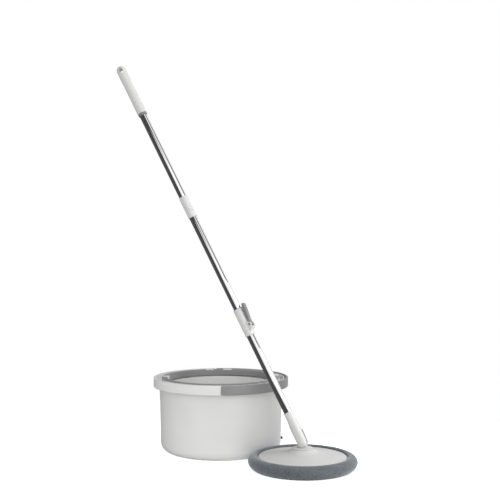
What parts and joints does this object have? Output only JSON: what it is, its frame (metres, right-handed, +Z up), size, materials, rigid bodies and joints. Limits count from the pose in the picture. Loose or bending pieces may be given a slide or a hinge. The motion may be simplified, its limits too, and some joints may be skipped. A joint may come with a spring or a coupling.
{
  "type": "spin mop",
  "caption": "Round mop bucket with bail, splash ring and spinning basket, and a flat round mop on a pumped telescopic handle with a tilting head.",
  "frame": {"origin": "middle of the bucket's flat base, on the floor", "axes": "+Z up, +X to the right towards the mop's pad, +Y to the back"},
  "size_m": [0.6883, 0.5894, 1.1402],
  "materials": {
    "white_plastic": "moulded satin white polypropylene",
    "pale_plastic": "moulded pale grey polypropylene",
    "grey_plastic": "moulded mid grey polypropylene",
    "dark_rubber": "plain dark moulded rubber or nylon",
    "chromed_tube": "bright chromed steel",
    "plain_steel": "plain steel",
    "microfibre_pile": "slate grey chenille microfibre",
    "hook_cloth": "hook and loop fastening"
  },
  "bodies": {
    "bucket": {"bucket_shell": "white_plastic", "bail_stud_front": "grey_plastic", "bail_stud_rear": "grey_plastic", "spindle": "plain_steel", "spindle_cap": "grey_plastic", "drain_seal": "dark_rubber"},
    "bail": {"bail": "grey_plastic"},
    "splash_ring": {"splash_ring": "grey_plastic", "ring_clip_left": "white_plastic", "ring_clip_right": "white_plastic"},
    "basket": {"spin_basket": "pale_plastic", "basket_bush": "dark_rubber"},
    "drain_plug": {"drain_plug": "dark_rubber"},
    "pad": {"pad": "microfibre_pile"},
    "mop_head": {"head_plate": "pale_plastic", "pad_backing": "hook_cloth", "hub": "pale_plastic", "hub_screw": "plain_steel"},
    "lower_shaft": {"neck": "white_plastic", "neck_button": "white_plastic", "fork_pin": "white_plastic", "pin_clip": "plain_steel", "lower_tube": "chromed_tube", "bar_anchor": "dark_rubber", "twisted_bar": "plain_steel", "bar_stop": "plain_steel", "clamp_collar": "white_plastic", "brake_shoe": "dark_rubber", "lever_pin": "plain_steel"},
    "lock_lever": {"clamp_lever": "grey_plastic"},
    "slide_bush": {"guide_bush": "dark_rubber"},
    "upper_handle": {"middle_tube": "chromed_tube", "upper_tube": "chromed_tube", "joint_spigot": "plain_steel", "joint_shell_lower": "white_plastic", "joint_shell_upper": "white_plastic", "drive_nut": "white_plastic", "clutch_ring": "plain_steel", "grip_ring": "grey_plastic", "grip": "white_plastic"}
  },
  "joints": [
    {"name": "bail_fold", "type": "hinge", "parent": "bucket", "child": "bail", "pos_m": [0, 0, 0.207], "axis": [0.0802, -0.9968, 0], "range_deg": [0, 105]},
    {"name": "ring_lift", "type": "slide", "parent": "bucket", "child": "splash_ring", "axis": [0, 0, 1], "range_m": [0, 0.06]},
    {"name": "basket_spin", "type": "hinge", "parent": "bucket", "child": "basket", "pos_m": [0, 0, 0.09], "axis": [0, 0, 1], "continuous": true},
    {"name": "plug_pull", "type": "slide", "parent": "bucket", "child": "drain_plug", "axis": [1, 0, 0], "range_m": [0, 0.03]},
    {"name": "mop_lift", "type": "slide", "parent": "bucket", "child": "pad", "axis": [0.238, -0.2456, 0.9397], "range_m": [0, 0.3]},
    {"name": "head_release", "type": "slide", "parent": "pad", "child": "mop_head", "axis": [0, 0, 1], "range_m": [0, 0.06]},
    {"name": "head_tilt", "type": "hinge", "parent": "mop_head", "child": "lower_shaft", "pos_m": [0.2294, -0.2368, 0.07], "axis": [0.342, 0.9397, 0], "range_deg": [-6, 112]},
    {"name": "lever_turn", "type": "hinge", "parent": "lower_shaft", "child": "lock_lever", "pos_m": [0.08929, -0.18801, 0.3869], "axis": [0.4407, 0.8958, 0.0569], "range_deg": [0, 100]},
    {"name": "drive_spin", "type": "hinge", "parent": "lower_shaft", "child": "slide_bush", "pos_m": [0.2294, -0.2368, 0.07], "axis": [0.439, -0.1598, -0.8842], "range_deg": [0, 766]},
    {"name": "pump", "type": "slide", "parent": "slide_bush", "child": "upper_handle", "axis": [0.439, -0.1598, -0.8842], "range_m": [0, 0.17]}
  ],
  "couplings": [
    {"joint": "drive_spin", "follows": "pump", "rad_per_m": 78.54}
  ]
}
